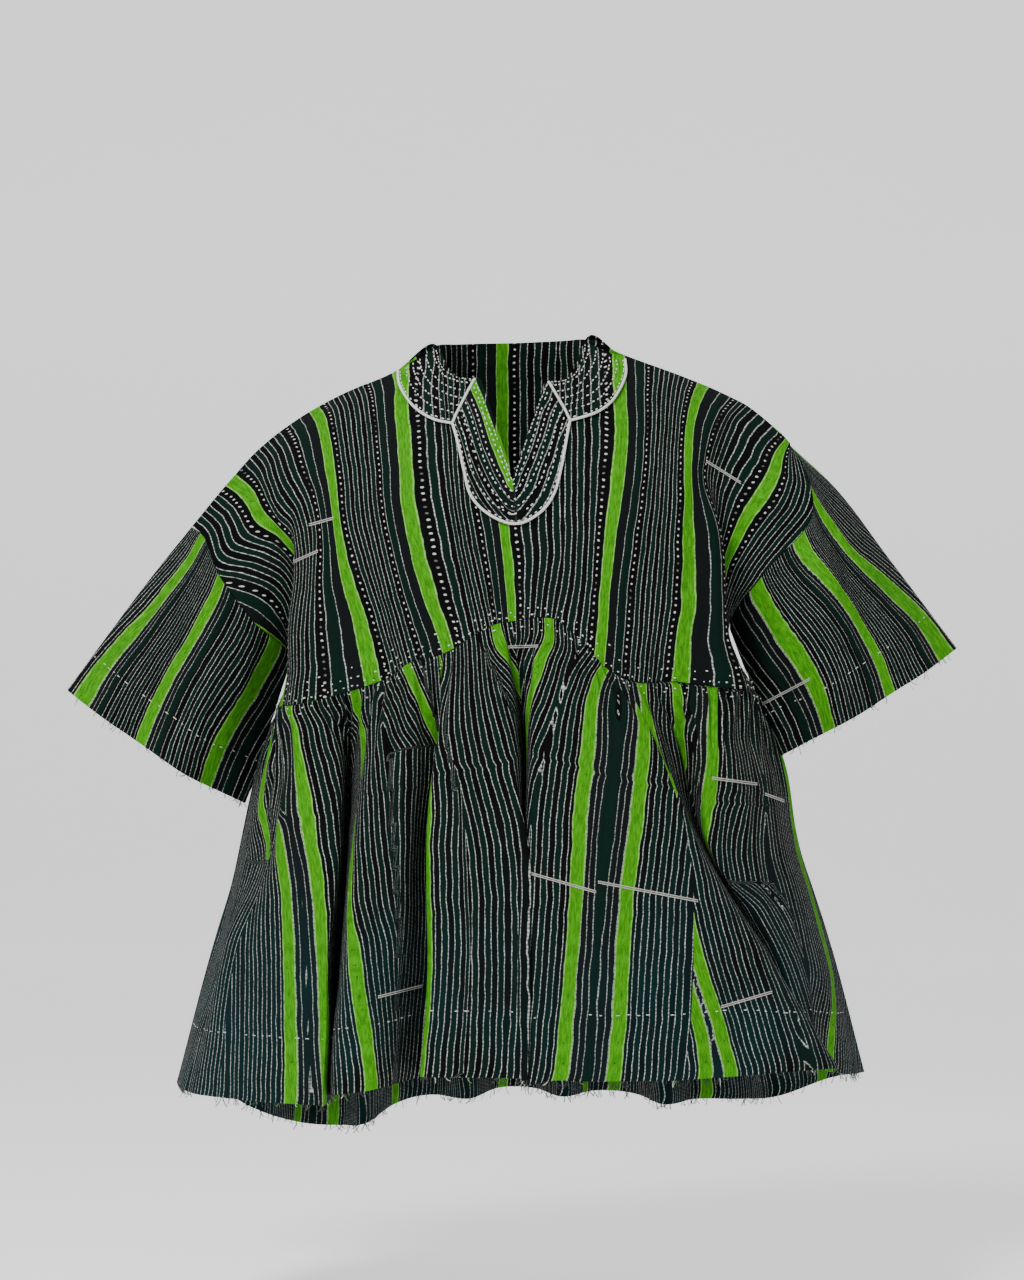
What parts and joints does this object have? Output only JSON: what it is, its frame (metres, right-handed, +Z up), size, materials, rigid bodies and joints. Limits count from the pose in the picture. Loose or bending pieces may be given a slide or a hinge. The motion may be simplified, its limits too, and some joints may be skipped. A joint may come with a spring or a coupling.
{
  "type": "fugu smock, worn form",
  "caption": "Hollow worn-form fugu smock: wide-sleeved yoke of woven strips with a V-notched round neck and a full gathered skirt.",
  "frame": {"origin": "middle of the neck's base between the shoulders that carry the smock, on the mount worn_on_shoulders", "axes": "+X to the wearer's left, -Y the front, +Z up"},
  "size_m": [0.934, 0.4867, 0.8532],
  "materials": {
    "strip_cloth": "hand-woven cotton strips, black and dark green with white warp lines and bright green bands",
    "facing_cloth": "the same strip cloth, closely quilted with white running stitch",
    "white_cotton": "white cotton cord and thread"
  },
  "bodies": {
    "root": {"yoke_front": "strip_cloth", "yoke_back": "strip_cloth", "sleeve_right": "strip_cloth", "sleeve_left": "strip_cloth", "skirt_front": "strip_cloth", "skirt_back": "strip_cloth", "neck_facing_right": "facing_cloth", "neck_facing_left": "facing_cloth", "neck_facing_back": "facing_cloth", "placket_facing": "facing_cloth"}
  },
  "joints": []
}
